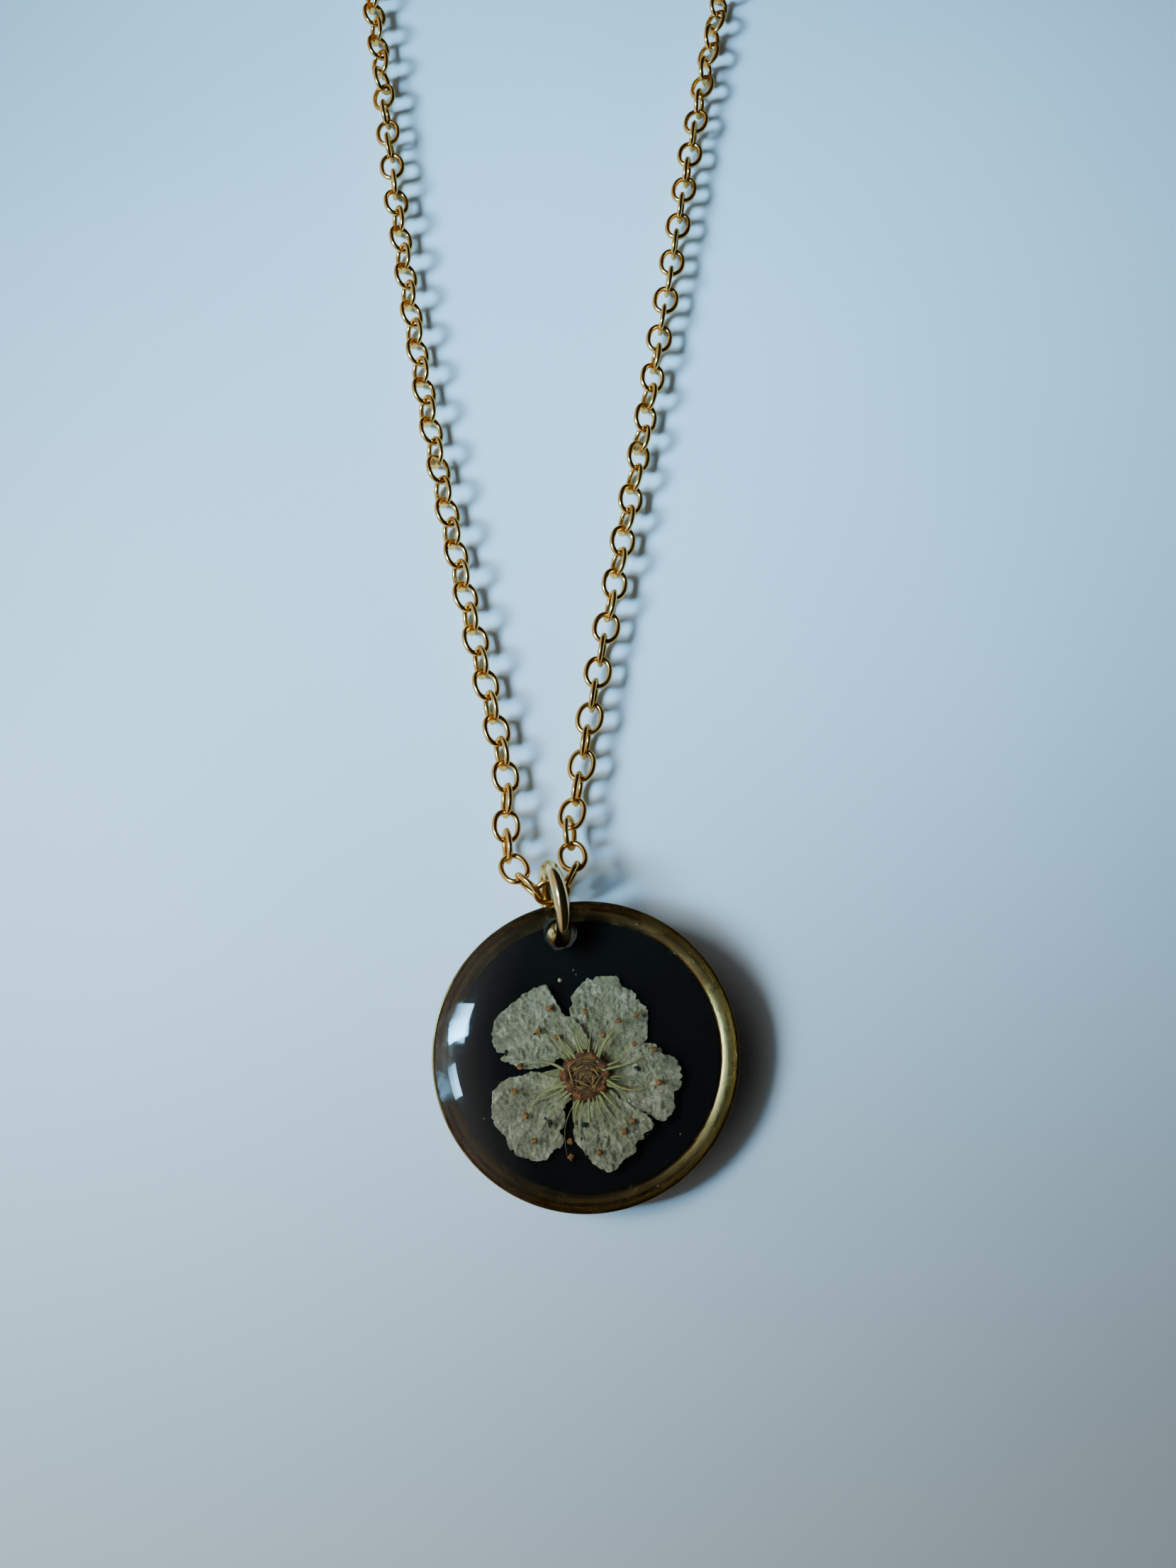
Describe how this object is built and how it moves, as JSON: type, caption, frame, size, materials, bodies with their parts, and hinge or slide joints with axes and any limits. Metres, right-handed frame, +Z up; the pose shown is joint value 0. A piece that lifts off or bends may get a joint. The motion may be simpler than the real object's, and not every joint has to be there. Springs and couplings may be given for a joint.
{
  "type": "pressed spirea flower pendant necklace",
  "caption": "Pendant necklace: a pressed white spirea blossom in clear domed resin in a round bezel, on a fine oval-link chain with a lobster clasp.",
  "frame": {"origin": "on the surface that the necklace lies on, under the middle of its box", "axes": "+Z up from the surface; +Y along the necklace, from the pendant to the clasp; +X to the right as the pendant is seen from above"},
  "size_m": [0.06, 0.1974, 0.0059],
  "materials": {
    "bezel_metal": "polished, darkened antique gold",
    "chain_metal": "polished, warm gold",
    "black_disc": "matt black",
    "clear_resin": "clear, glossy",
    "petals": "dried, wrinkled",
    "sepals": "dried",
    "flower_centre": "dried, fibrous",
    "stamens": "dried"
  },
  "bodies": {
    "necklace": {"jump_ring": "chain_metal", "chain_bight": "chain_metal", "chain_left_1": "chain_metal", "chain_left_2": "chain_metal", "chain_left_3": "chain_metal", "chain_left_4": "chain_metal", "chain_left_5": "chain_metal", "chain_left_6": "chain_metal", "chain_right_1": "chain_metal", "chain_right_2": "chain_metal", "chain_right_3": "chain_metal", "chain_right_4": "chain_metal", "chain_right_5": "chain_metal", "chain_right_6": "chain_metal", "clasp_body": "chain_metal", "clasp_ring_tail": "chain_metal", "clasp_ring_hook": "chain_metal"},
    "pendant": {"bezel": "bezel_metal", "resin_dome": "clear_resin", "backing_disc": "black_disc", "calyx": "sepals", "flower_centre": "flower_centre", "stamens": "stamens", "petal_1": "petals", "petal_2": "petals", "petal_3": "petals", "petal_4": "petals", "petal_5": "petals"},
    "clasp_trigger": {"clasp_trigger": "chain_metal"}
  },
  "joints": [
    {"name": "pendant_swing", "type": "hinge", "parent": "necklace", "child": "pendant", "pos_m": [0.00117, -0.07876, 0.003], "axis": [-0.9629, -0.2064, 0.1736], "range_deg": [0, 50]},
    {"name": "trigger_hinge", "type": "hinge", "parent": "necklace", "child": "clasp_trigger", "pos_m": [-0.00139, 0.0969, 0.00172], "axis": [0, 0, -1], "range_deg": [0, 20], "stiffness_Nm_per_rad": 0.004}
  ]
}
